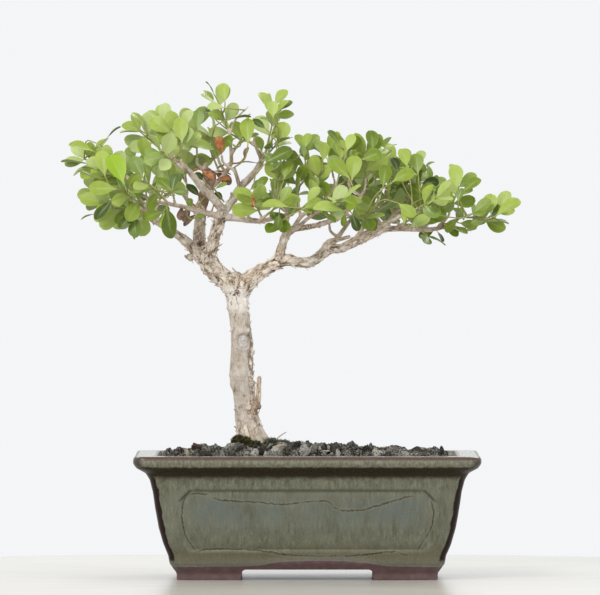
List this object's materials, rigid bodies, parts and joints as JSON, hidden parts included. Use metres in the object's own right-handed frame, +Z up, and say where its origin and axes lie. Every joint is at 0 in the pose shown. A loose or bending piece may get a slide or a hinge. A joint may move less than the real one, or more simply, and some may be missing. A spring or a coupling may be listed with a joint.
{
  "type": "boxwood bonsai in a pot",
  "caption": "Japanese boxwood bonsai: slender upright trunk forking into two limbs with pads of small glossy leaves, in a footed rectangular glazed pot filled with soil.",
  "frame": {"origin": "middle of the whole part's footprint, on the surface that the pot's feet stand on", "axes": "+Z up; +X along the pot's length, to the right as seen from the front; -Y towards the side the tree is looked at from"},
  "size_m": [0.325, 0.185, 0.357],
  "materials": {
    "glaze": "streaked grey-green glaze, bare brown clay at the feet",
    "screen": "black plastic mesh",
    "soil": "coarse dark crumbly soil",
    "bark": "rough pale grey-tan bark",
    "leaf": "glossy green leaf",
    "dry_leaf": "dry orange-brown leaf"
  },
  "bodies": {
    "root": {"drain_screen_left": "screen", "drain_screen_right": "screen", "dry_leaf_1": "dry_leaf", "dry_leaf_2": "dry_leaf", "dry_leaf_3": "dry_leaf", "pot": "glaze", "soil": "soil", "spray_01": "leaf", "spray_02": "leaf", "spray_03": "leaf", "spray_04": "leaf", "spray_05": "leaf", "spray_06": "leaf", "spray_07": "leaf", "spray_08": "leaf", "spray_09": "leaf", "spray_10": "leaf", "spray_11": "leaf", "spray_12": "leaf", "spray_13": "leaf", "spray_14": "leaf", "spray_15": "leaf", "spray_16": "leaf", "spray_17": "leaf", "spray_18": "leaf", "spray_19": "leaf", "spray_20": "leaf", "spray_21": "leaf", "spray_22": "leaf", "spray_23": "leaf", "spray_24": "leaf", "spray_25": "leaf", "spray_26": "leaf", "spray_27": "leaf", "spray_28": "leaf", "spray_29": "leaf", "spray_30": "leaf", "spray_31": "leaf", "spray_32": "leaf", "spray_33": "leaf", "spray_34": "leaf", "spray_35": "leaf", "spray_36": "leaf", "spray_37": "leaf", "spray_38": "leaf", "spray_39": "leaf", "spray_40": "leaf", "spray_41": "leaf", "spray_42": "leaf", "spray_43": "leaf", "spray_44": "leaf", "spray_45": "leaf", "spray_46": "leaf", "spray_47": "leaf", "spray_48": "leaf", "spray_49": "leaf", "spray_50": "leaf", "spray_51": "leaf", "wood": "bark"}
  },
  "joints": []
}
